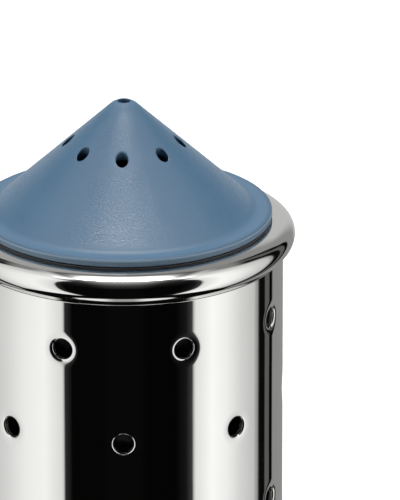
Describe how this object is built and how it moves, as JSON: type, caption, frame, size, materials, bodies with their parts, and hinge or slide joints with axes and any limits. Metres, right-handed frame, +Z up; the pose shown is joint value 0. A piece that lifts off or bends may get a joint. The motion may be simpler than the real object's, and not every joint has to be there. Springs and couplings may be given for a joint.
{
  "type": "salt shaker",
  "caption": "Table salt shaker with a perforated mirror-polished steel jacket, a rolled rim, a lift-out plastic salt cup and a push-in cone cap with sprinkle holes.",
  "frame": {"origin": "on the shaker's axis, in the plane that the foot ring rests on", "axes": "+Z up along the axis of the jacket and the cone; -Y is the front, where a sprinkle hole and a hole of the middle row lie"},
  "size_m": [0.0548, 0.0548, 0.075],
  "materials": {
    "polished_steel": "mirror-polished stainless steel",
    "dark_plastic": "satin moulded plastic, dark grey",
    "blue_plastic": "fine-grained moulded plastic, slate blue",
    "black_rubber": "matt black rubber",
    "pale_silicone": "satin silicone, pale grey"
  },
  "bodies": {
    "jacket": {"outer_jacket": "polished_steel", "base_plug": "dark_plastic", "foot_ring": "black_rubber"},
    "cup": {"salt_cup": "dark_plastic", "collar_gasket": "black_rubber", "grip_ring": "black_rubber"},
    "seal": {"cap_seal": "pale_silicone"},
    "cap": {"cone_cap": "blue_plastic"}
  },
  "joints": [
    {"name": "cup_lift", "type": "slide", "parent": "jacket", "child": "cup", "axis": [0, 0, 1], "range_m": [0, 0.06]},
    {"name": "cap_lift", "type": "slide", "parent": "cup", "child": "seal", "axis": [0, 0, 1], "range_m": [0, 0.025]},
    {"name": "cap_turn", "type": "hinge", "parent": "seal", "child": "cap", "pos_m": [0, 0, 0.0556], "axis": [0, 0, 1], "continuous": true}
  ]
}
